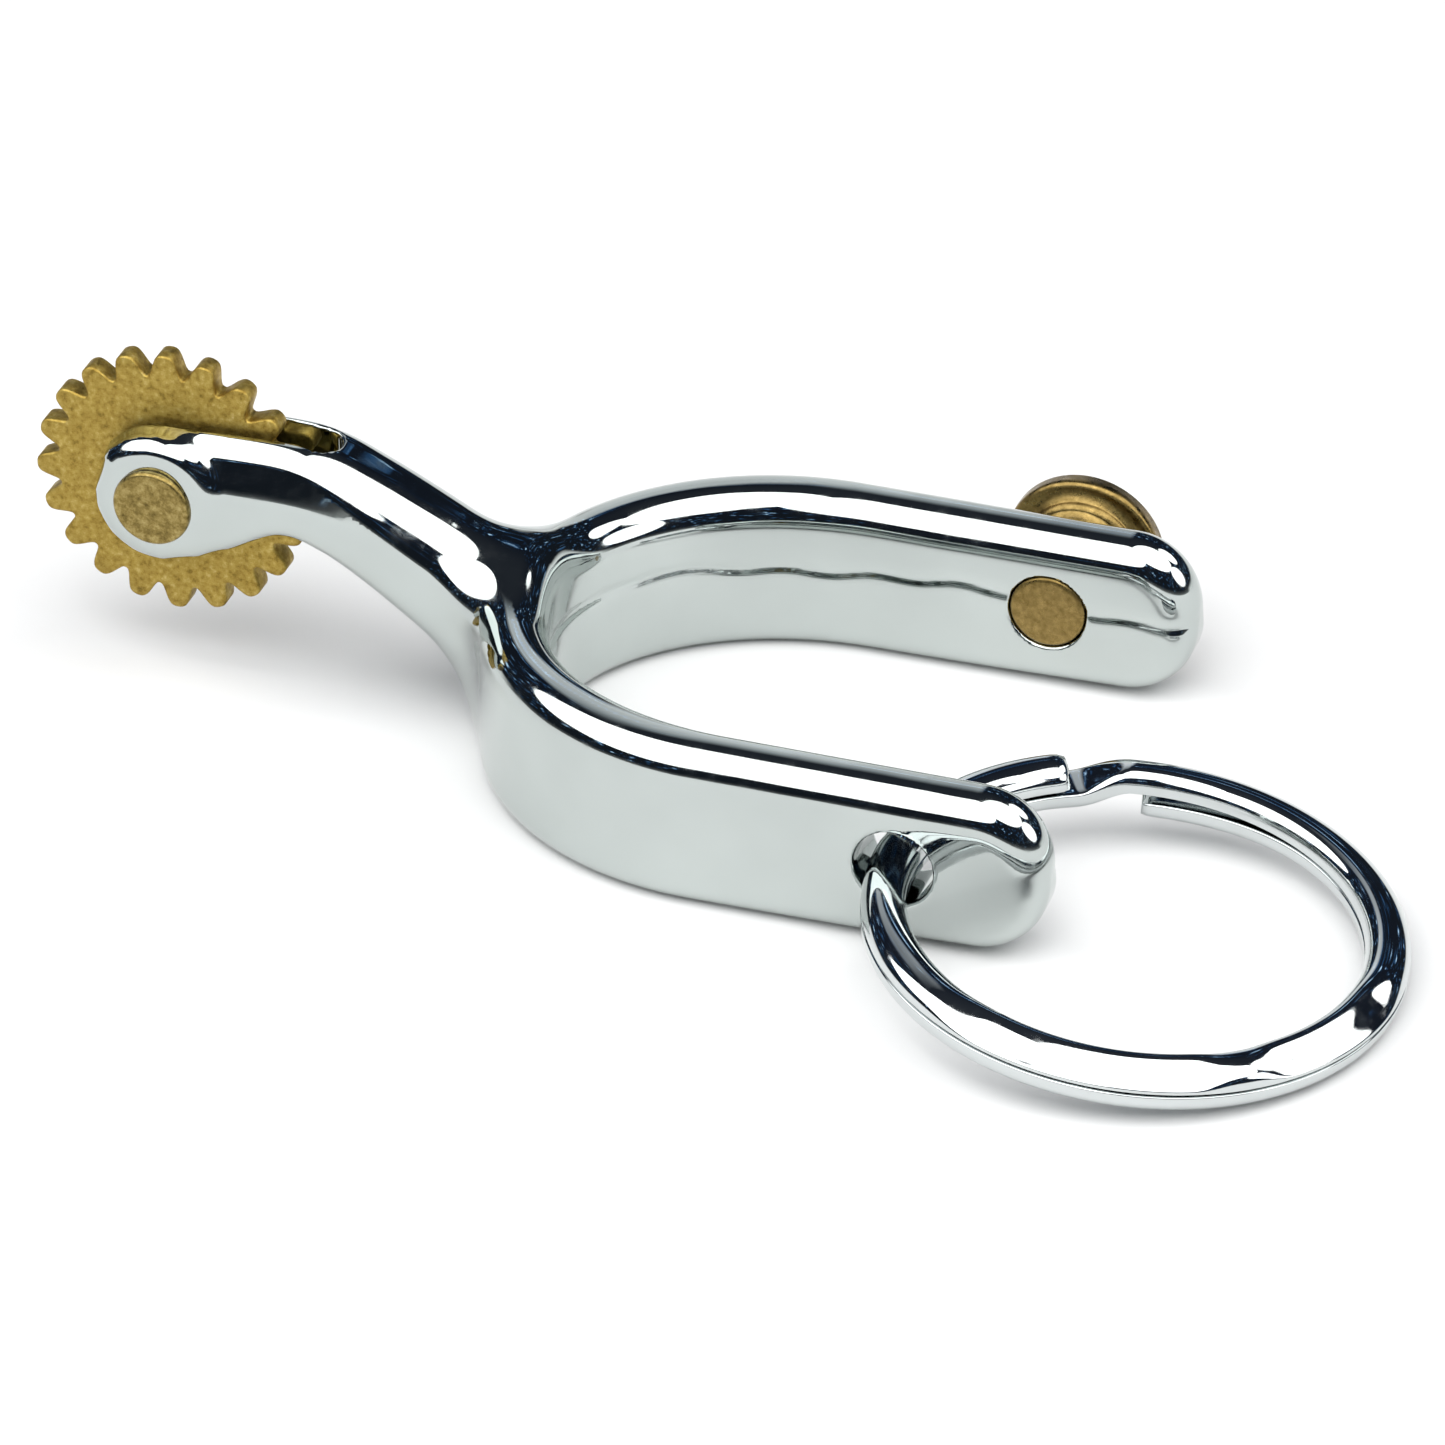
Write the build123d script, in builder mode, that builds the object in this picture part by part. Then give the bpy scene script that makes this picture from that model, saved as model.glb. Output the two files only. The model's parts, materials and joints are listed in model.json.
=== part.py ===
"""A small display spur with a turning rowel and a split ring, in millimetres.

Frame: the origin is on the underside of the heel band, at the middle of its
thickness where it crosses the mid-plane. +X runs towards the arm tips, +Y
towards the arm that carries the strap button, and +Z is up.
"""
import os
from math import cos, radians, sin

from build123d import *

# Heel band, a U seen from above.
band_height = 9.4
casting_height = 20                  # above the whole shank
band_thickness = 3.7
half_gap = 11.6                      # from the mid-plane to an arm's inner face
half_width = half_gap + band_thickness
tip_x = 33.6                         # arm tips
arm_rise = 0.5                       # how far the underside has risen at the tips
rise_from_x = 10
inner_heel_x = 15.5                  # where the inner curve starts
outer_heel_x = 14.2                  # where the outer curve starts
arm_corner = 3.9                     # arm tip corners, seen from the side
edge_round = 1.1                     # all long edges of the casting

# Shank and fork, from the heel to the rowel.
shank_half_width = 3.15
heel_blend = 3.6                     # plan radius where the shank meets the band
ear_radius = 3.56
slot_width = 2.4
slot_end_x = -10.4

# Rowel and its pin.
pin_x = -20.05
pin_z = 10.97
pin_radius = 1.5
pin_head_radius = 2.2
pin_head_proud = 0.5
pin_head_edge = 0.2
pin_clearance = 0.05                 # radial, rowel on pin
rowel_radius = 7.78
rowel_root_radius = 6.5
rowel_thickness = 1.35
rowel_teeth = 20
rowel_gullet_angle = -28.4           # degrees, first gullet in the rowel's own plane
gullet_root_half = 0.2
gullet_mouth_half = 0.95
gullet_round = 0.15
tooth_tip_round = 0.3

# Arm holes, on one axis across both arms.
hole_x = 25.5
hole_z = band_height / 2
ring_hole_radius = 2.15
button_shank_radius = 2.1
hole_chamfer = 0.2

# Strap button, turned in one piece.
button_neck_radius = 2.9
button_head_radius = 4.4
button_neck_length = 2.8
button_head_thickness = 1.3
button_edge = 0.3

# Split ring: two turns of half-round wire, flat sides together.
ring_mean_radius = 13.03
wire_width = 2.4
wire_height = 1.3
turn_gap = 0.06
flat_crown = 0.01                    # the flats are very slightly crowned
ring_centre = Vector(38.15, -13.7, 2.75)
ring_normal = Vector(0.104, -0.02, 1)
lower_end = 105                      # degrees, counter-clockwise from +X
joggle_low = 122
joggle_high = 108
upper_end = 124
joggle_steps = 4

layer_offset = (wire_height + turn_gap) / 2
ring_plane = Plane(origin=ring_centre, x_dir=(1, 0, -ring_normal.X), z_dir=ring_normal)
pin_axis = Plane(origin=(pin_x, 0, pin_z), x_dir=(1, 0, 0), z_dir=(0, 1, 0))
hole_axis = Plane(origin=(hole_x, 0, hole_z), x_dir=(1, 0, 0), z_dir=(0, 1, 0))

os.makedirs("parts", exist_ok=True)


def save(part, label):
    part.label = label
    export_step(part, f"parts/{label}.step")


def rims(builder, radius):
    """The circular edges of one radius."""
    circles = builder.edges().filter_by(GeomType.CIRCLE)
    return circles.filter_by(lambda edge: abs(edge.radius - radius) < 0.001)


# ---------------------------------------------------------------- yoke
with BuildPart() as side_block:
    with BuildSketch(Plane.XZ):
        with BuildLine():
            heel_top = Vector(1.2, band_height)
            ear_top = Vector(pin_x - 1.5, pin_z + 3.5)
            ear_left = Vector(pin_x - ear_radius, pin_z)
            ear_bottom = Vector(pin_x, pin_z - ear_radius)
            heel_low = Vector(-band_thickness / 2, 1.2)
            Spline(
                heel_top, (-1.2, 10.4), (-4, 11.9), (-8, 13.8), (-11, 14.95), (-14, 15.2), ear_top,
                tangents=((-1, 0), (-1, -0.02)),
            )
            Spline(ear_top, (pin_x - 3.02, pin_z + 2.4), ear_left, tangents=((-1, -0.02), (0, -1)))
            ThreePointArc(
                ear_left,
                (pin_x - ear_radius * cos(radians(45)), pin_z - ear_radius * sin(radians(45))),
                ear_bottom,
            )
            Spline(
                ear_bottom, (-16.2, 8.45), (-13.0, 9.95), (-10.8, 9.3), (-6.2, 5.8), (-3.6, 3.35), heel_low,
                tangents=((1, 0), (0.15, -1)),
            )
            Polyline(heel_low, (-band_thickness / 2, 0), (1.2, 0), heel_top)
        make_face()
        with BuildSketch(Plane.XZ, mode=Mode.PRIVATE) as arm_side:
            with BuildLine():
                Polyline(
                    (rise_from_x, 0), (-band_thickness / 2, 0), (-band_thickness / 2, band_height),
                    (tip_x, band_height), (tip_x, arm_rise),
                )
                TangentArc((rise_from_x, 0), (tip_x, arm_rise), tangent=(1, 0))
            make_face()
            fillet(arm_side.vertices().group_by(Axis.X)[-1], arm_corner)
        add(arm_side.sketch)
    extrude(amount=2 * half_width, both=True)

with BuildPart() as yoke:
    with BuildSketch() as band_plan:
        with Locations((outer_heel_x, 0)):
            Ellipse(outer_heel_x + band_thickness / 2, half_width)
        with Locations(((outer_heel_x + tip_x) / 2, 0)):
            Rectangle(tip_x - outer_heel_x, 2 * half_width)
        fork_end_x = pin_x - ear_radius - 1
        with BuildLine():
            Polyline(
                (fork_end_x, -shank_half_width), (1, -shank_half_width),
                (1, shank_half_width), (fork_end_x, shank_half_width),
                close=True,
            )
        make_face()
        corners = band_plan.vertices().filter_by_position(Axis.X, -3, 0)
        fillet(corners, heel_blend)
        with Locations((inner_heel_x, 0)):
            Ellipse(inner_heel_x - band_thickness / 2, half_gap, mode=Mode.SUBTRACT)
        with Locations(((inner_heel_x + tip_x) / 2 + 1, 0)):
            Rectangle(tip_x - inner_heel_x + 2, 2 * half_gap, mode=Mode.SUBTRACT)
    extrude(amount=casting_height)
    add(side_block.part, mode=Mode.INTERSECT)

    outline = yoke.edges().filter_by(Axis.Z, reverse=True).filter_by(Axis.Y, reverse=True)
    fillet(outline, edge_round)

    # Slot between the two ears of the fork, with a rounded blind end.
    slot_length = slot_end_x - fork_end_x
    with BuildSketch():
        with Locations(((fork_end_x + slot_end_x - slot_width / 2) / 2, 0)):
            Rectangle(slot_length - slot_width / 2, slot_width)
        with Locations((slot_end_x - slot_width / 2, 0)):
            Circle(slot_width / 2)
    extrude(amount=casting_height, mode=Mode.SUBTRACT)

    # Bore for the rowel pin, and the two arm holes.
    with BuildSketch(pin_axis):
        Circle(pin_radius)
    extrude(amount=half_width, both=True, mode=Mode.SUBTRACT)
    with BuildSketch(hole_axis):
        Circle(button_shank_radius)
    extrude(amount=half_width + 1, mode=Mode.SUBTRACT)
    with BuildSketch(hole_axis):
        Circle(ring_hole_radius)
    extrude(amount=-half_width - 1, mode=Mode.SUBTRACT)
    ring_rims = rims(yoke, ring_hole_radius)
    button_rims = rims(yoke, button_shank_radius).sort_by(Axis.Y)
    chamfer(ring_rims + button_rims[:1], hole_chamfer)
save(yoke.part, "yoke")


# ---------------------------------------------------------------- rowel
def at_radius(sketch, radius):
    """The corners of a flat outline that lie on one circle about its centre."""
    return sketch.vertices().filter_by(lambda v: abs((v.X**2 + v.Y**2) ** 0.5 - radius) < 0.05)


with BuildPart() as rowel:
    with BuildSketch(pin_axis.offset(-rowel_thickness / 2)) as star:
        with BuildSketch(mode=Mode.PRIVATE) as gullet:
            with BuildLine():
                Polyline(
                    (rowel_root_radius, -gullet_root_half), (rowel_radius + 0.4, -gullet_mouth_half),
                    (rowel_radius + 0.4, gullet_mouth_half), (rowel_root_radius, gullet_root_half),
                    close=True,
                )
            make_face()
        Circle(rowel_radius)
        with PolarLocations(0, rowel_teeth, start_angle=rowel_gullet_angle):
            add(gullet.sketch, mode=Mode.SUBTRACT)
        fillet(at_radius(star, rowel_radius), tooth_tip_round)
        fillet(at_radius(star, (rowel_root_radius**2 + gullet_root_half**2) ** 0.5), gullet_round)
        Circle(pin_radius + pin_clearance, mode=Mode.SUBTRACT)
    extrude(amount=rowel_thickness)
save(rowel.part, "rowel")


# ---------------------------------------------------------------- rowel pin
with BuildPart() as rowel_pin:
    with BuildSketch(pin_axis):
        Circle(pin_radius)
    extrude(amount=shank_half_width, both=True)
    for side in (-1, 1):
        with BuildSketch(pin_axis.offset(side * shank_half_width)):
            Circle(pin_head_radius)
        extrude(amount=side * pin_head_proud)
    caps = rims(rowel_pin, pin_head_radius).sort_by(Axis.Y)
    chamfer(caps[:1] + caps[-1:], pin_head_edge)
save(rowel_pin.part, "rowel_pin")


# ---------------------------------------------------------------- strap button
with BuildPart() as strap_button:
    neck_end = half_width + button_neck_length
    head_end = neck_end + button_head_thickness
    with BuildSketch(hole_axis.offset(half_gap)):
        Circle(button_shank_radius)
    extrude(amount=band_thickness)
    with BuildSketch(hole_axis.offset(half_width)):
        Circle(button_neck_radius)
    extrude(amount=button_neck_length)
    with BuildSketch(hole_axis.offset(neck_end)):
        Circle(button_head_radius)
    extrude(amount=button_head_thickness)
    chamfer(rims(strap_button, button_head_radius), button_edge)
save(strap_button.part, "strap_button")


# ---------------------------------------------------------------- split ring
def wire_plane(angle, height):
    """Plane across the wire: x points outward, y along the ring's axis."""
    turn = radians(angle)
    outward = ring_plane.x_dir * cos(turn) + ring_plane.y_dir * sin(turn)
    origin = ring_plane.origin + outward * ring_mean_radius + ring_plane.z_dir * height
    return Plane(origin=origin, x_dir=outward, z_dir=outward.cross(ring_plane.z_dir))


def wire_outline(low_sag, high_sag):
    """Closed wire section with arcs below and above; the sags set their depths."""
    edge = wire_width / 2
    low = -wire_height / 2
    high = wire_height / 2
    ThreePointArc((-edge, low + low_sag), (0, low), (edge, low + low_sag))
    Line((edge, low + low_sag), (edge, high - high_sag))
    ThreePointArc((edge, high - high_sag), (0, high), (-edge, high - high_sag))
    Line((-edge, high - high_sag), (-edge, low + low_sag))


round_side = wire_width / 2 - 0.05
ring_axis = Axis(ring_plane.origin, ring_plane.z_dir)
with BuildPart() as split_ring:
    with BuildSketch(wire_plane(joggle_low, -layer_offset)):
        with BuildLine():
            wire_outline(round_side, flat_crown)
        make_face()
    revolve(axis=ring_axis, revolution_arc=360 - joggle_low + lower_end)
    with BuildSketch(wire_plane(upper_end, layer_offset)):
        with BuildLine():
            wire_outline(flat_crown, round_side)
        make_face()
    revolve(axis=ring_axis, revolution_arc=360 - upper_end + joggle_high)
    for step in range(joggle_steps + 1):
        share = step / joggle_steps
        rise = share * share * (3 - 2 * share)
        angle = joggle_low + share * (joggle_high - joggle_low)
        low_sag = round_side + rise * (flat_crown - round_side)
        high_sag = flat_crown + rise * (round_side - flat_crown)
        with BuildSketch(wire_plane(angle, (2 * rise - 1) * layer_offset)):
            with BuildLine():
                wire_outline(low_sag, high_sag)
            make_face()
    loft()
save(split_ring.part, "split_ring")
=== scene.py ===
"""Looks for the small plated spur: a chrome yoke, a brass rowel, pin and button, and a split ring."""
import json
import math

import bpy
import numpy as np
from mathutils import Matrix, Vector


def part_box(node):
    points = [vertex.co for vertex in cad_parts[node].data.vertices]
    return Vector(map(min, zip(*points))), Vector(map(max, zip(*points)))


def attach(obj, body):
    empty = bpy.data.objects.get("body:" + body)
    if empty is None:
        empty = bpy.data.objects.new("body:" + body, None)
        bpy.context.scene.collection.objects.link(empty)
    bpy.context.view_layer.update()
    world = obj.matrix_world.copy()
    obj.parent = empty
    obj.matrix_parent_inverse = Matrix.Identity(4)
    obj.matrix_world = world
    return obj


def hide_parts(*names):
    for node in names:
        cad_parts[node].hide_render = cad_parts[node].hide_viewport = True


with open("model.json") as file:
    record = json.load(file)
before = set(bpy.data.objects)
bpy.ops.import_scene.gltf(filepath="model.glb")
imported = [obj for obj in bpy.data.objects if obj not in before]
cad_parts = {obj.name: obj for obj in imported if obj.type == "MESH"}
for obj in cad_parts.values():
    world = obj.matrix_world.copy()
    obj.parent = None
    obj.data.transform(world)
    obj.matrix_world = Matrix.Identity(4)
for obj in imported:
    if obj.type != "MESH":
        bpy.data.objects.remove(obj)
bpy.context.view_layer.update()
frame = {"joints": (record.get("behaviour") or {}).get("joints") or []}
MM = 0.001

# ---------------------------------------------------------------- places, in millimetres
joints = {joint["name"]: joint for joint in frame["joints"]}
pin_x, _, pin_z = (c / MM for c in joints["rowel_spin"]["pos_m"])
yoke_low, yoke_high = (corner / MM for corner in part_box("yoke"))
button_low, button_high = (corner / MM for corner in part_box("strap_button"))
rowel_low, rowel_high = (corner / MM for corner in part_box("rowel"))
hole_x = (button_low.x + button_high.x) / 2
hole_z = (button_low.z + button_high.z) / 2

# Heel band: half an ellipse at the heel, then straight arms whose undersides rise a little to the tip
band_height = 2 * hole_z
half_width = yoke_high.y
half_gap = button_low.y
band_thickness = half_width - half_gap
tip_x = yoke_high.x
inner_heel_x = 15.5
outer_heel_x = 14.2
arm_corner = 3.9
arm_rise = 0.5
rise_from_x = 10
top_round = 1.84
bottom_round = 1.25
crown_stretch = 1.16

# Shank and fork, whose outline from the side is drawn through a few points (x, z)
fork_half_width = 3.15
ear_radius = pin_x - yoke_low.x
ear_face_radius = 3.8
slot_half_width = 1.2
slot_end_x = -10.4
neck_x = -14
shank_full_x = -2
neck_round = 1.15
shank_round = 2.7
flank_depth = 3.0
flank_lean = 0.40
flank_turn = 0.4
ear_round = 1.05
ear_blend = 0.7
heel_blend = 3.4
shank_front_x = 8
fork_front_x = -6

# Parting seam left by the mould inside the band
seam_height = 5.3
seam_depth = 0.12
seam_width = 0.32

# Holes and small parts
ring_hole_radius = 2.15
button_hole_radius = 2.16
rim_round = 0.2
holes_from_x = 18
pin_radius = 1.5
rowel_teeth = 20
rowel_root_radius = 6.5
rowel_gullet_angle = -28.4

# Split ring
ring_mean_radius = 13.03
ring_centre = Vector((38.15, -13.7, 2.75))
ring_normal = Vector((0.104, -0.02, 1)).normalized()
wire_width = 2.38
wire_height = 1.3
wire_crown = 1.08
wire_flat = 0.22
turn_gap = 0.06
lower_end = 105
joggle_low = 122
joggle_high = 108
upper_end = 124


# ---------------------------------------------------------------- distance fields, in millimetres
def through(points, steps=14):
    """A smooth line through a few points (centripetal Catmull-Rom)."""
    points = [np.array(p, float) for p in points]
    ends = [2 * points[0] - points[1]] + points + [2 * points[-1] - points[-2]]
    line = []
    for a, b, c, d in zip(ends, ends[1:], ends[2:], ends[3:]):
        knots = [0.0]
        for p, q in ((a, b), (b, c), (c, d)):
            knots.append(knots[-1] + np.linalg.norm(q - p) ** 0.5)
        k0, k1, k2, k3 = knots
        for t in np.linspace(k1, k2, steps, endpoint=False):
            ab = (a * (k1 - t) + b * (t - k0)) / (k1 - k0)
            bc = (b * (k2 - t) + c * (t - k1)) / (k2 - k1)
            cd = (c * (k3 - t) + d * (t - k2)) / (k3 - k2)
            abc = (ab * (k2 - t) + bc * (t - k0)) / (k2 - k0)
            bcd = (bc * (k3 - t) + cd * (t - k1)) / (k3 - k1)
            line.append((abc * (k2 - t) + bcd * (t - k1)) / (k2 - k1))
    line.append(points[-1])
    return line


def outline_distance(outline, px, pz):
    """Signed distance from points to a closed outline, negative inside."""
    start = np.array(outline)
    step = np.roll(start, -1, axis=0) - start
    length2 = (step ** 2).sum(1)
    flat = np.stack([px.ravel(), pz.ravel()], 1)
    out = np.empty(len(flat))
    batch = 20000
    for first in range(0, len(flat), batch):
        p = flat[first:first + batch, None, :] - start[None]
        share = np.clip((p * step).sum(2) / length2, 0, 1)
        gap = p - share[..., None] * step
        distance = np.sqrt((gap ** 2).sum(2).min(1))
        z0 = start[None, :, 1]
        z1 = z0 + step[None, :, 1]
        pz_here = flat[first:first + batch, 1, None]
        spans = (z0 > pz_here) != (z1 > pz_here)
        side = p[..., 0] < step[None, :, 0] * p[..., 1] / np.where(spans, step[None, :, 1], 1)
        inside = ((spans & side).sum(1) % 2) == 1
        out[first:first + batch] = np.where(inside, -distance, distance)
    return out.reshape(px.shape)


def half_ellipse(x, y, middle, along, across):
    """Distance to a U outline: an ellipse behind middle, straight sides ahead of it."""
    u = (x - middle) / along
    v = y / across
    size = np.sqrt(u * u + v * v) + 1e-9
    slope = np.sqrt((u / along) ** 2 + (v / across) ** 2) + 1e-9
    return np.where(x < middle, size * (size - 1) / slope, np.abs(y) - across)


def round_both(a, b, radius):
    """The part inside both a and b, with its edge rounded."""
    u = a + radius
    v = b + radius
    return np.minimum(np.maximum(u, v), 0) + np.hypot(np.maximum(u, 0), np.maximum(v, 0)) - radius


def round_cut(a, tool, radius):
    """a with tool cut out of it, with the new edge rounded."""
    return round_both(a, -tool, radius)


def smooth_join(a, b, width):
    """The part inside a or b, with the crease between them filled over the given width."""
    h = np.clip(0.5 + 0.5 * (b - a) / width, 0, 1)
    return b + (a - b) * h - width * h * (1 - h)


def ease(x, low, high):
    """A smooth step from 0 at low to 1 at high."""
    t = np.clip((x - low) / (high - low), 0, 1)
    return t * t * (3 - 2 * t)


heel_top_line = [
    (5, band_height - 2), (1.8, band_height - 0.1), (-1.2, 10.4), (-4, 11.9), (-8, 13.8), (-11, 14.95),
    (-14, 15.2), (pin_x - 1.5, pin_z + 3.5), (pin_x - 3.02, pin_z + 2.4),
]
heel_low_line = [
    (-16.2, 8.45), (-13.0, 9.95), (-10.8, 9.3), (-6.2, 5.8), (-3.6, 3.35), (-1.5, 1.2), (1.5, 0.9),
    (5, 2.5),
]
ear_arc = [
    (pin_x - ear_radius * math.cos(a), pin_z - ear_radius * math.sin(a))
    for a in np.linspace(0.0, math.radians(95), 24)
]
top_line = np.array(through(heel_top_line))
shank_outline = through(heel_top_line)[:-1] + through([heel_top_line[-1], ear_arc[0]])[:-1] + ear_arc[:-1]
shank_outline += through([ear_arc[-1]] + heel_low_line)


def side_of(x, z):
    """Distance to the shank's outline; points that share one x are looked up by their z."""
    if len(x) > 1 and x[0] == x[-1] and (x == x[0]).all():
        heights, where = np.unique(z, return_inverse=True)
        return outline_distance(shank_outline, np.full(len(heights), x[0]), heights)[where]
    return outline_distance(shank_outline, x, z)


def shank_distance(x, y, z):
    """The shank, with flanks that lean in, and at its end the upright faces of the ears round the pin."""
    side = side_of(x, z)
    widening = ease(x, neck_x, shank_full_x)
    below = np.interp(x, top_line[::-1, 0], top_line[::-1, 1]) - z
    above = np.minimum(flank_depth - below, flank_depth)
    lean = 0.5 * flank_lean * (1 - 0.75 * widening) * (above + np.hypot(above, flank_turn))
    across = np.abs(y) - fork_half_width
    bar = round_both(side, across + lean, neck_round + widening * (shank_round - neck_round))
    face = np.maximum(side, np.hypot(x - pin_x, z - pin_z) - ear_face_radius)
    return smooth_join(bar, round_both(face, across, ear_round), ear_blend)


def slot_distance(x, y):
    """The fork's slot, open behind and round at its front end."""
    end = slot_end_x - slot_half_width
    return np.where(x < end, np.abs(y), np.hypot(x - end, y)) - slot_half_width


def yoke_distance(x, y, z):
    """The casting: solid band and shank on the ground, cut by the gap, the slot and the holes."""
    plan = half_ellipse(x, y, outer_heel_x, outer_heel_x + band_thickness / 2, half_width)
    gap = half_ellipse(x, y, inner_heel_x, inner_heel_x - band_thickness / 2, half_gap)
    under = arm_rise * (np.maximum(x - rise_from_x, 0) / (tip_x - rise_from_x)) ** 2
    u = x - (tip_x - arm_corner)
    v = np.abs(z - (band_height + under) / 2) - ((band_height - under) / 2 - arm_corner)
    side = np.minimum(np.maximum(u, v), 0) + np.hypot(np.maximum(u, 0), np.maximum(v, 0)) - arm_corner

    # The crowns are rounder than the lower edges, so the side profile eases from one to the other
    upper = ease(z, 0.3 * band_height, 0.7 * band_height)
    side = side / (1 + (crown_stretch - 1) * upper)
    edge = bottom_round + (top_round - bottom_round) * upper
    body = round_both(plan, side, edge)
    near_shank = x < shank_front_x
    if near_shank.any():
        xs, ys, zs = x[near_shank], y[near_shank], z[near_shank]
        joined = smooth_join(body[near_shank], shank_distance(xs, ys, zs), heel_blend)
        body[near_shank] = np.maximum(joined, -zs)

    # The gap, with the seam as a shallow groove that wanders in two waves
    wander = 0.3 * np.sin(0.33 * x + 0.8) + 0.12 * np.sin(1.3 * x)
    seam = seam_depth * np.exp(-((z - seam_height - wander) / seam_width) ** 2)
    body = round_cut(body, gap - seam, edge)
    near_fork = x < fork_front_x
    if near_fork.any():
        xs, ys, zs = x[near_fork], y[near_fork], z[near_fork]
        forked = round_cut(body[near_fork], slot_distance(xs, ys), rim_round)
        body[near_fork] = np.maximum(forked, pin_radius - np.hypot(xs - pin_x, zs - pin_z))
    near_holes = x > holes_from_x
    if near_holes.any():
        xs, ys, zs = x[near_holes], y[near_holes], z[near_holes]
        hole = np.where(ys < 0, ring_hole_radius, button_hole_radius)
        body[near_holes] = round_cut(body[near_holes], np.hypot(xs - hole_x, zs - hole_z) - hole, rim_round)
    return body


def slope_of(field, p, step=0.04):
    """The field's gradient at points p."""
    out = np.empty_like(p)
    for axis in range(3):
        shift = np.zeros(3)
        shift[axis] = step
        out[:, axis] = (field(*(p + shift).T) - field(*(p - shift).T)) / (2 * step)
    return out


def surface_of(field, low, high, cell):
    """Vertices, quads and normals of the field's zero surface, by surface nets."""
    counts = [int(math.ceil((h - l) / cell)) + 1 for l, h in zip(low, high)]
    axes = [l + cell * np.arange(n) for l, n in zip(low, counts)]
    values = np.empty(counts)
    grid_y, grid_z = np.meshgrid(axes[1], axes[2], indexing="ij")
    for i, x in enumerate(axes[0]):
        values[i] = field(np.full(grid_y.size, x), grid_y.ravel(), grid_z.ravel()).reshape(grid_y.shape)
    inside = values < 0
    cells = [n - 1 for n in counts]
    total = np.zeros(cells + [3], np.float32)
    hits = np.zeros(cells, np.int8)
    quads = []
    crossings = []
    for axis in range(3):
        near = [slice(None)] * 3
        far = [slice(None)] * 3
        near[axis] = slice(0, -1)
        far[axis] = slice(1, None)
        cross = np.argwhere(inside[tuple(near)] != inside[tuple(far)])
        ends = cross.copy()
        ends[:, axis] += 1
        v0 = values[tuple(cross.T)]
        v1 = values[tuple(ends.T)]
        place = cross.astype(np.float32)
        place[:, axis] += v0 / (v0 - v1)
        others = [a for a in range(3) if a != axis]
        around = []
        for d0, d1 in ((1, 1), (0, 1), (0, 0), (1, 0)):
            owner = cross.copy()
            owner[:, others[0]] -= d0
            owner[:, others[1]] -= d1
            np.add.at(total, tuple(owner.T), place)
            np.add.at(hits, tuple(owner.T), 1)
            around.append(owner)
        flip = (v0 < 0) != (axis == 1)
        crossings.append((around, flip))
    used = hits > 0
    index = np.full(cells, -1, np.int64)
    index[used] = np.arange(used.sum())
    points = total[used] / hits[used][:, None] * cell + np.array(low)
    for around, flip in crossings:
        corners = np.stack([index[tuple(owner.T)] for owner in around], 1)
        corners[~flip] = corners[~flip][:, ::-1]
        quads.append(corners)
    quads = np.concatenate(quads)
    for _ in range(3):
        slope = slope_of(field, points)
        points = points - slope * (field(*points.T) / (slope ** 2).sum(1))[:, None]
    normals = slope_of(field, points)
    normals /= np.linalg.norm(normals, axis=1)[:, None]
    return points, quads, normals


# ---------------------------------------------------------------- mesh helpers
def new_piece(name, points, faces, material, body, node, normals=None):
    """A smooth-shaded mesh from points in millimetres, riding on its body in place of a CAD node."""
    mesh = bpy.data.meshes.new(name)
    mesh.from_pydata((np.asarray(points) * MM).tolist(), [], [list(map(int, f)) for f in faces])
    mesh.validate()
    mesh.shade_smooth()
    if normals is not None:
        mesh.normals_split_custom_set_from_vertices(normals.tolist())
    mesh.materials.append(material)
    piece = bpy.data.objects.new(name, mesh)
    bpy.context.scene.collection.objects.link(piece)
    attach(piece, body)
    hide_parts(node)
    return piece


def turned(profile, centre, sides=96):
    """Points and faces of a solid of revolution about +Y, from (radius, y) points off its axis."""
    count = len(profile)
    points = []
    for k in range(sides):
        turn = 2 * math.pi * k / sides
        points += [(centre[0] + r * math.cos(turn), y, centre[1] + r * math.sin(turn)) for r, y in profile]
    faces = []
    for k in range(sides):
        a = k * count
        b = (k + 1) % sides * count
        faces += [(a + i, a + i + 1, b + i + 1, b + i) for i in range(count - 1)]
    for end in (0, count - 1):
        points.append((centre[0], profile[end][1], centre[1]))
        hub = len(points) - 1
        for k in range(sides):
            a = k * count + end
            b = (k + 1) % sides * count + end
            faces.append((hub, a, b) if end == 0 else (hub, b, a))
    return points, faces


def corner(r0, y0, r1, y1, steps=5):
    """A quarter of an ellipse in a profile, leaving (r0, y0) along r and reaching (r1, y1) along y."""
    return [
        (r0 + (r1 - r0) * math.sin(t), y0 + (y1 - y0) * (1 - math.cos(t)))
        for t in np.linspace(0, math.pi / 2, steps + 1)
    ]


# ---------------------------------------------------------------- materials
def new_material(name):
    """A material with one Principled shader, and that shader."""
    material = bpy.data.materials.new(name)
    material.use_nodes = True
    nodes = material.node_tree.nodes
    nodes.clear()
    out = nodes.new("ShaderNodeOutputMaterial")
    shader = nodes.new("ShaderNodeBsdfPrincipled")
    material.node_tree.links.new(shader.outputs["BSDF"], out.inputs["Surface"])
    return material, shader


def noise(material, scale, detail, rough=0.5):
    """Noise in object space; scale is in features per metre."""
    tree = material.node_tree
    place = tree.nodes.new("ShaderNodeTexCoord")
    texture = tree.nodes.new("ShaderNodeTexNoise")
    texture.inputs["Scale"].default_value = scale
    texture.inputs["Detail"].default_value = detail
    texture.inputs["Roughness"].default_value = rough
    tree.links.new(place.outputs["Object"], texture.inputs["Vector"])
    return texture.outputs["Fac"]


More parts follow.
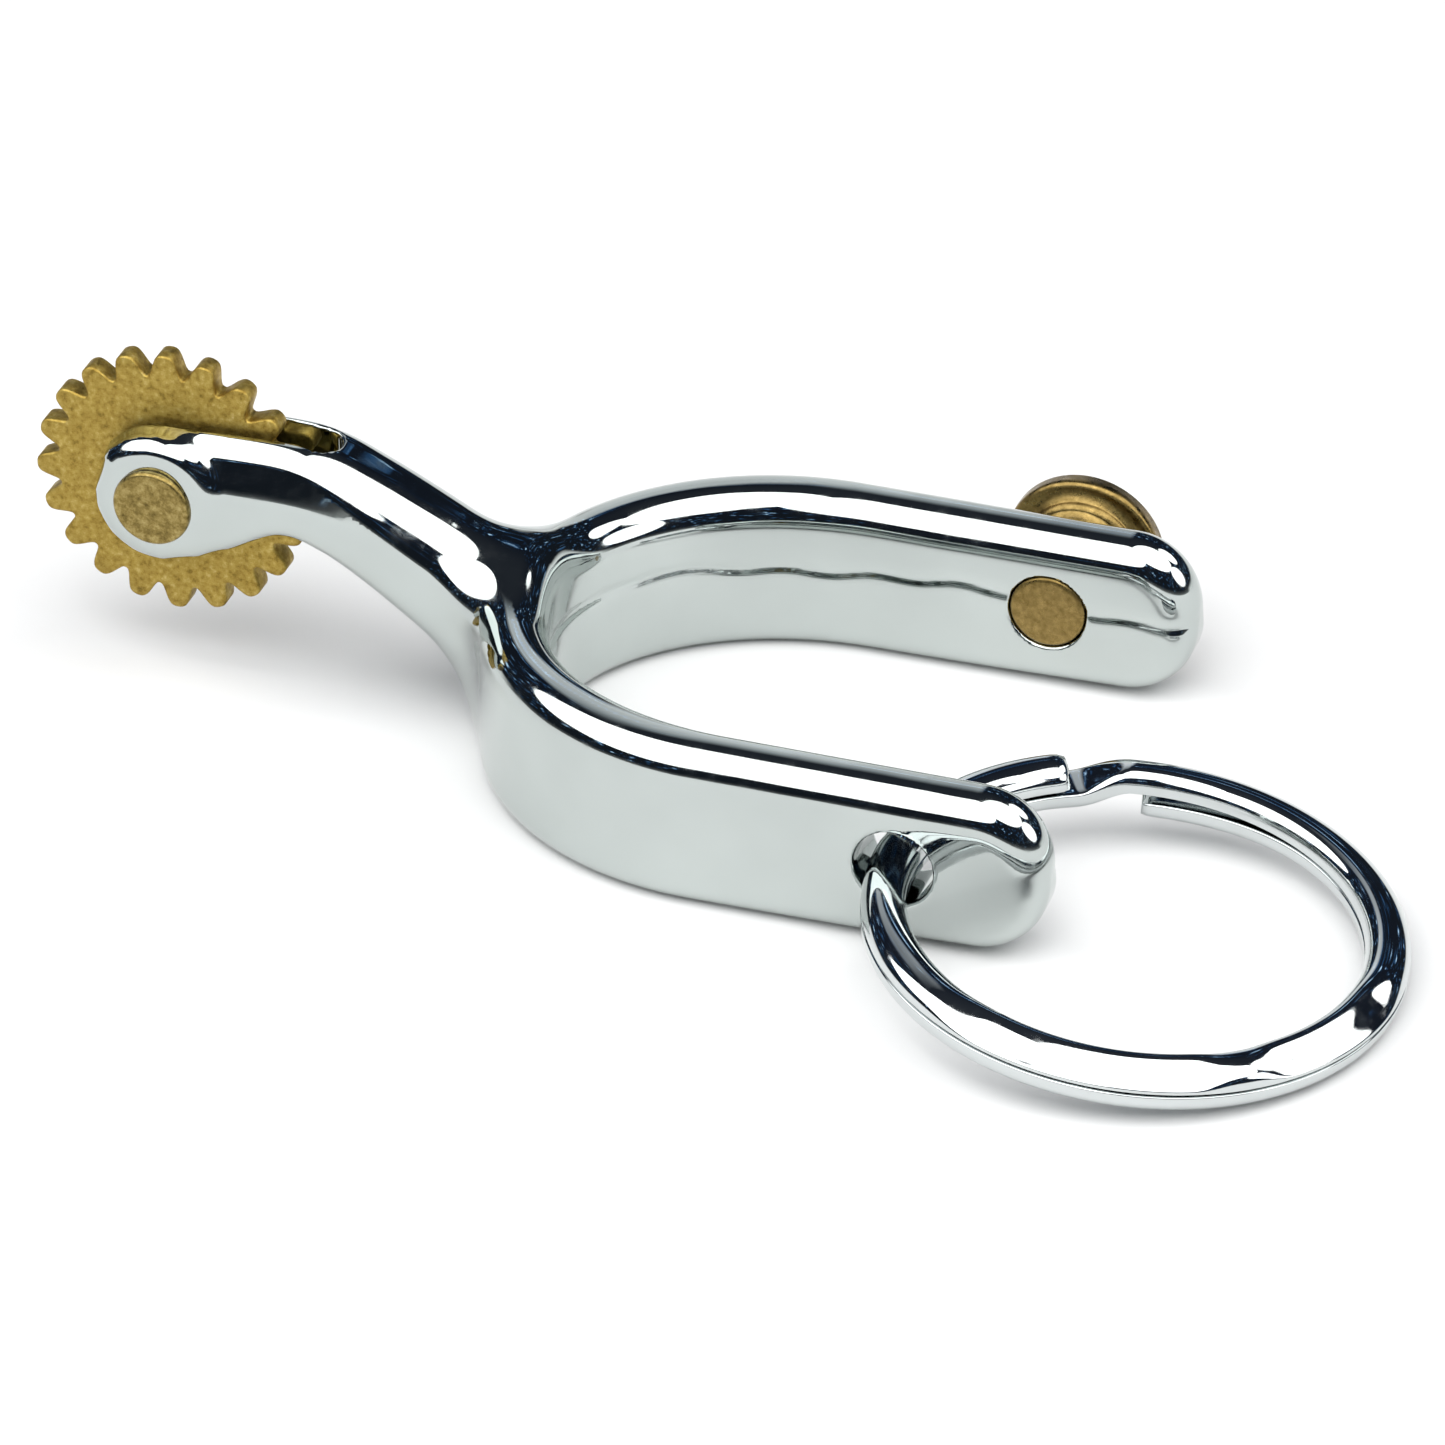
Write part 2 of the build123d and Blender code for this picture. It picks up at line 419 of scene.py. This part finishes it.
def ramp(tree, value, stops):
    """Colours along a value, from (position, colour) stops."""
    node = tree.nodes.new("ShaderNodeValToRGB")
    elements = node.color_ramp.elements
    while len(elements) < len(stops):
        elements.new(0.5)
    for element, (position, colour) in zip(elements, stops):
        element.position = position
        element.color = (*colour, 1)
    tree.links.new(value, node.inputs["Fac"])
    return node.outputs["Color"]


def spread(material, value, low, high, to_low, to_high):
    """A value mapped from one range to another."""
    node = material.node_tree.nodes.new("ShaderNodeMapRange")
    for socket, number in (("From Min", low), ("From Max", high), ("To Min", to_low), ("To Max", to_high)):
        node.inputs[socket].default_value = number
    material.node_tree.links.new(value, node.inputs["Value"])
    return node.outputs["Result"]


def bump(material, height, depth, under=None):
    """A bump of the given depth in metres, on top of another."""
    tree = material.node_tree
    node = tree.nodes.new("ShaderNodeBump")
    node.inputs["Strength"].default_value = 1.0
    node.inputs["Distance"].default_value = depth
    tree.links.new(height, node.inputs["Height"])
    if under is not None:
        tree.links.new(under, node.inputs["Normal"])
    return node.outputs["Normal"]


def chrome(name, tint, ripple):
    """Bright plate: faint ripples of a polished casting, and fine wear that dulls it in places."""
    material, shader = new_material(name)
    link = material.node_tree.links.new
    shader.inputs["Metallic"].default_value = 1.0
    cast = noise(material, 160, 2.0)
    colour = ramp(material.node_tree, cast, [(0.3, [0.93 * c for c in tint]), (0.7, tint)])
    link(colour, shader.inputs["Base Color"])
    wear = noise(material, 900, 8.0, 0.65)
    link(spread(material, wear, 0.45, 0.75, 0.035, 0.16), shader.inputs["Roughness"])
    soft = bump(material, noise(material, 210, 1.0, 0.3), ripple)
    fine = bump(material, noise(material, 2600, 3.0, 0.6), ripple * 0.012, soft)
    link(fine, shader.inputs["Normal"])
    return material


def brass(name, stops, rough_low, rough_high, grain):
    """Brass with mottled tarnish and a fine grain."""
    material, shader = new_material(name)
    link = material.node_tree.links.new
    shader.inputs["Metallic"].default_value = 1.0
    mottle = noise(material, 2600, 6.0, 0.7)
    link(ramp(material.node_tree, mottle, stops), shader.inputs["Base Color"])
    link(spread(material, noise(material, 2100, 6.0, 0.6), 0.35, 0.65, rough_low, rough_high),
         shader.inputs["Roughness"])
    coarse = bump(material, noise(material, 1700, 4.0, 0.55), grain)
    link(bump(material, noise(material, 7000, 3.0, 0.6), grain * 0.35, coarse), shader.inputs["Normal"])
    return material


plate = chrome("plate", (0.52, 0.56, 0.545), 0.00006)
wire_plate = chrome("wire_plate", (0.63, 0.66, 0.66), 0.00004)
rowel_brass = brass(
    "rowel_brass",
    [
        (0.28, (0.16, 0.105, 0.02)), (0.44, (0.34, 0.23, 0.05)),
        (0.58, (0.44, 0.32, 0.08)), (0.72, (0.58, 0.45, 0.17)),
    ],
    0.42, 0.60, 0.00004,
)
pin_brass = brass(
    "pin_brass",
    [(0.32, (0.12, 0.085, 0.025)), (0.5, (0.26, 0.19, 0.06)), (0.68, (0.42, 0.33, 0.13))],
    0.26, 0.42, 0.00002,
)
button_brass = brass(
    "button_brass",
    [(0.35, (0.17, 0.115, 0.035)), (0.65, (0.30, 0.21, 0.075))],
    0.22, 0.40, 0.00002,
)


# ---------------------------------------------------------------- the pieces
def make_yoke():
    """The casting, polygonised from its distance field."""
    cell = 0.2
    margin = 2.5 * cell
    low = [c - margin for c in yoke_low]
    high = [c + margin for c in yoke_high]
    points, quads, normals = surface_of(yoke_distance, low, high, cell)
    return new_piece("yoke_casting", points, quads, plate, "spur", "yoke", normals)


def make_rowel():
    """Stamped star wheel with rounded teeth and softened edges."""
    radius = (rowel_high.x - rowel_low.x) / 2
    thickness = rowel_high.y - rowel_low.y
    bore = 1.56
    soft = 0.14
    pitch = 2 * math.pi / rowel_teeth
    # Half a tooth from gullet to tip, as shares of the pitch and of the tooth's height
    tooth = [
        (0.00, 0.0), (0.05, 0.02), (0.10, 0.12), (0.145, 0.27), (0.19, 0.46), (0.235, 0.65), (0.28, 0.80),
        (0.325, 0.90), (0.38, 0.965), (0.44, 0.992), (0.50, 1.0),
    ]
    height = radius - rowel_root_radius
    half = [(share * pitch, rowel_root_radius + rise * height) for share, rise in tooth]
    outline = []
    for k in range(rowel_teeth):
        start = math.radians(rowel_gullet_angle) + k * pitch
        outline += [(start + a, r) for a, r in half[:-1]]
        outline += [(start + pitch - a, r) for a, r in half[:0:-1]]
    angles = np.array([a for a, _ in outline])
    radii = np.array([r for _, r in outline])
    edge = np.stack([radii * np.cos(angles), radii * np.sin(angles)], 1)
    along = np.roll(edge, -1, axis=0) - np.roll(edge, 1, axis=0)
    inward = np.stack([-along[:, 1], along[:, 0]], 1) / np.linalg.norm(along, axis=1)[:, None]

    rings = []
    for sink, y in ((soft, 0.5), (0.3 * soft, 0.5 - 0.3 * soft / thickness), (0, 0.5 - soft / thickness)):
        rings.append((edge + inward * sink, y * thickness))
    rings = rings + [(flat, -y) for flat, y in reversed(rings)]

    # Loops across each face, from the foot of the teeth in to the bore
    discs = [0.96 * rowel_root_radius, 5.6, 4.2, 2.9, bore]
    unit = np.stack([np.cos(angles), np.sin(angles)], 1)
    front = [(unit * r, thickness / 2) for r in reversed(discs)]
    back = [(unit * r, -thickness / 2) for r in discs]
    loops = front + rings + back
    points = []
    for flat, y in loops:
        points += [(pin_x + px, y, pin_z - pz) for px, pz in flat]
    count = len(outline)
    faces = []
    for a in range(len(loops)):
        b = (a + 1) % len(loops)
        for i in range(count):
            j = (i + 1) % count
            faces.append((a * count + i, b * count + i, b * count + j, a * count + j))
    return new_piece("rowel_wheel", points, faces, rowel_brass, "rowel", "rowel")


def make_pin():
    """Rivet with two low heads, each a little dished inside a rounded rim."""
    low, high = (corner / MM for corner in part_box("rowel_pin"))
    head = (high.x - low.x) / 2
    rim = 1.95
    face = high.y
    half = [(1.2, face - 0.03), (1.75, face - 0.02), (rim, face)]
    half += corner(rim, face, head, face - 0.27)[1:]
    half += [(head, fork_half_width + 0.02), (pin_radius, fork_half_width), (pin_radius, slot_half_width)]
    profile = [(r, -y) for r, y in half] + [(r, y) for r, y in reversed(half)]
    points, faces = turned(profile, (pin_x, pin_z))
    return new_piece("rowel_rivet", points, faces, pin_brass, "spur", "rowel_pin")


def make_button():
    """Turned button: shank through the arm, neck, and a flat head with eased edges."""
    shank = 2.1
    neck = 2.9
    head = (button_high.x - button_low.x) / 2
    flat = head - 0.3
    face = button_high.y
    head_back = face - 1.3
    inner_end = half_gap + 0.03
    profile = [(1.2, half_gap + 0.02), (1.8, inner_end)]
    profile += corner(1.8, inner_end, shank, half_gap + 0.2)[1:]
    profile += [(shank, half_width - 0.02), (neck, half_width), (neck, half_width + 0.5)]
    profile += [(neck - 0.05, head_back - 0.5)]
    profile += corner(neck - 0.05, head_back - 0.5, neck + 0.4, head_back)[1:]
    profile += [(flat, head_back)]
    profile += corner(flat, head_back, head, head_back + 0.3)[1:]
    profile += [(head, face - 0.35)]
    profile += corner(head, face - 0.35, flat, face)[1:]
    profile += [(2.4, face - 0.02), (1.2, face - 0.02)]
    points, faces = turned(profile, (hole_x, hole_z))
    return new_piece("button_turned", points, faces, button_brass, "spur", "strap_button")


def make_ring():
    """Two turns of half-round wire with a joggle between them, flat sides together."""
    outward0 = Vector((1, 0, -ring_normal.x / ring_normal.z)).normalized()
    across0 = ring_normal.cross(outward0)
    layer = (wire_height + turn_gap) / 2
    middle = (wire_crown - wire_flat) / 2
    last = upper_end - 720
    count = 480
    sides = 36
    points = []
    for k in range(count + 1):
        angle = lower_end + (last - lower_end) * k / count
        turn = math.radians(angle)
        rise = ease(-angle, 360 - joggle_low, 360 - joggle_high)

        # Both cut ends stand a little off the other turn
        spring = 0.1 * ease(-angle, -last - 62, -last) - 0.4 * ease(angle, lower_end - 50, lower_end)

        # The upper turn's crown leans outward, most where it is worn in two stretches at the front
        place = angle + 360
        worn = ease(place, -124, -106) - ease(place, -62, -52) + ease(place, -48, -38) - ease(place, -10, 4)
        lean = 0.12 - 0.28 * ease(place, -165, -135) - 0.42 * worn
        outward = outward0 * math.cos(turn) + across0 * math.sin(turn)
        height = (2 * rise - 1) * layer + spring
        centre = ring_centre + outward * ring_mean_radius + ring_normal * height

        # The last two sections at each end close in, for an eased cut
        close = min(k, count - k)
        inset = 0.12 * max(0, 1 - close / 2) ** 2
        for s in range(sides):
            phi = 2 * math.pi * s / sides
            c, d = math.cos(phi), math.sin(phi)
            crowned = rise if d > 0 else 1 - rise
            power = 2 / (2.2 + (1 - crowned) * 3.3)
            depth = wire_flat + crowned * (wire_crown - wire_flat)
            w = math.copysign(abs(c) ** power, c) * (wire_width / 2 - inset)
            h = math.copysign(abs(d) ** power, d) * (depth - inset * 0.8)
            h += (1 - 2 * rise) * middle + lean * (w + 0.5) * max(d, 0) * rise
            points.append(centre + outward * w + ring_normal * h)
    faces = []
    for k in range(count):
        a = k * sides
        b = a + sides
        for s in range(sides):
            t = (s + 1) % sides
            faces.append((a + s, b + s, b + t, a + t))
    for start, order in ((0, 1), (count * sides, -1)):
        points.append(sum((points[start + s] for s in range(sides)), Vector()) / sides)
        hub = len(points) - 1
        for s in range(sides):
            t = (s + 1) % sides
            faces.append((hub, start + s, start + t)[::order])
    return new_piece("ring_wire", points, faces, wire_plate, "key_ring", "split_ring")


make_yoke()
make_rowel()
make_pin()
make_button()
make_ring()


# ---------------------------------------------------------------- floor, light and camera
def make_floor():
    """A plain pale sheet under the part."""
    size = 0.8
    mesh = bpy.data.meshes.new("floor")
    corners = [(-size, -size, 0), (size, -size, 0), (size, size, 0), (-size, size, 0)]
    mesh.from_pydata(corners, [], [(0, 1, 2, 3)])
    material, shader = new_material("paper")
    link = material.node_tree.links.new
    tone = noise(material, 3, 3.0)
    shades = [(0.3, (0.76, 0.76, 0.755)), (0.7, (0.78, 0.78, 0.775))]
    link(ramp(material.node_tree, tone, shades), shader.inputs["Base Color"])
    shader.inputs["Roughness"].default_value = 0.9
    mesh.materials.append(material)
    floor = bpy.data.objects.new("floor", mesh)
    bpy.context.scene.collection.objects.link(floor)


def hang_softbox(name, direction, distance, width, depth, radiance):
    """An oval light of even brightness, facing the part from a direction."""
    data = bpy.data.lights.new(name, "AREA")
    data.shape = "ELLIPSE"
    data.size = width
    data.size_y = depth
    data.energy = math.pi * (math.pi / 4 * width * depth) * radiance
    lamp = bpy.data.objects.new(name, data)
    away = Vector(direction).normalized()
    lamp.location = target + away * distance
    lamp.rotation_euler = away.to_track_quat("Z", "Y").to_euler()
    bpy.context.scene.collection.objects.link(lamp)


def blend(tree, kind, one, other):
    """Two colours mixed in full by the given kind of blending."""
    node = tree.nodes.new("ShaderNodeMix")
    node.data_type = "RGBA"
    node.blend_type = kind
    node.inputs["Factor"].default_value = 1.0
    tree.links.new(one, node.inputs["A"])
    tree.links.new(other, node.inputs["B"])
    return node.outputs["Result"]


def shifted(tree, value, amount):
    """A value with a constant added."""
    node = tree.nodes.new("ShaderNodeMath")
    tree.links.new(value, node.inputs[0])
    node.inputs[1].default_value = amount
    return node.outputs[0]


def make_world():
    """A dim room over a pale sweep, with a few small cool lights."""
    world = bpy.data.worlds.new("room")
    bpy.context.scene.world = world
    world.use_nodes = True
    tree = world.node_tree
    place = tree.nodes.new("ShaderNodeTexCoord")
    split = tree.nodes.new("ShaderNodeSeparateXYZ")
    tree.links.new(place.outputs["Generated"], split.inputs["Vector"])
    height = split.outputs["Z"]
    room = ramp(tree, height, [
        (0.0, (0.30, 0.31, 0.31)), (0.03, (0.10, 0.105, 0.11)), (0.10, (0.012, 0.016, 0.022)),
        (0.7, (0.010, 0.014, 0.024)), (1.0, (0.03, 0.035, 0.045)),
    ])

    # A pale sweep behind the part and to its left, brightest low down
    sweep = ramp(tree, height, [
        (0.0, (0.90, 0.91, 0.90)), (0.45, (0.85, 0.87, 0.88)), (0.70, (0.45, 0.48, 0.50)),
        (0.86, (0, 0, 0)),
    ])
    behind = ramp(tree, split.outputs["Y"], [(0.05, (0, 0, 0)), (0.25, (1, 1, 1))])
    left = ramp(tree, shifted(tree, split.outputs["X"], 0.5), [
        (0.0, (0, 0, 0)), (0.08, (1, 1, 1)), (0.24, (1, 1, 1)), (0.30, (0, 0, 0)),
    ])
    low = ramp(tree, height, [(0.04, (1, 1, 1)), (0.10, (0, 0, 0))])
    wide = blend(tree, "LIGHTEN", left, low)
    sweep = blend(tree, "MULTIPLY", blend(tree, "MULTIPLY", sweep, behind), wide)

    spots = tree.nodes.new("ShaderNodeTexNoise")
    spots.inputs["Scale"].default_value = 16
    spots.inputs["Detail"].default_value = 3
    tree.links.new(place.outputs["Generated"], spots.inputs["Vector"])
    glints = ramp(tree, spots.outputs["Fac"], [
        (0.0, (0, 0, 0)), (0.58, (0.0, 0.0, 0.0)), (0.66, (0.03, 0.12, 0.30)), (0.72, (0.9, 1.3, 1.7)),
    ])
    band = ramp(tree, height, [
        (0.05, (0, 0, 0)), (0.15, (1, 1, 1)), (0.7, (1, 1, 1)), (0.8, (0, 0, 0)),
    ])
    total = blend(tree, "ADD", blend(tree, "ADD", room, sweep), blend(tree, "MULTIPLY", glints, band))
    background = tree.nodes["Background"]
    tree.links.new(total, background.inputs["Color"])
    background.inputs["Strength"].default_value = 1.0


view_azimuth = 18.849
view_elevation = 31.953
view_distance = 0.5
target = Vector((12.57, -4.46, 4.63)) * MM

camera_data = bpy.data.cameras.new("camera")
camera_data.sensor_width = 36
camera_data.lens = 235.95
camera_data.clip_start = 0.01
camera = bpy.data.objects.new("camera", camera_data)
a, e = math.radians(view_azimuth), math.radians(view_elevation)
back = Vector((math.sin(a) * math.cos(e), -math.cos(a) * math.cos(e), math.sin(e)))
camera.location = target + back * view_distance
camera.rotation_euler = back.to_track_quat("Z", "Y").to_euler()
bpy.context.scene.collection.objects.link(camera)
bpy.context.scene.camera = camera

make_floor()
make_world()
hang_softbox("window", (-0.46, -0.50, 0.80), 0.8, 1.5, 0.88, 2.8)
hang_softbox("overhead", (0.36, -0.22, 0.85), 0.6, 0.68, 0.68, 2.8)
hang_softbox("side", (0.90, -0.05, 0.40), 0.7, 0.42, 0.36, 2.6)
hang_softbox("behind", (0.58, 0.40, 0.69), 0.7, 0.34, 0.34, 2.6)
bpy.context.scene.view_settings.view_transform = "Standard"
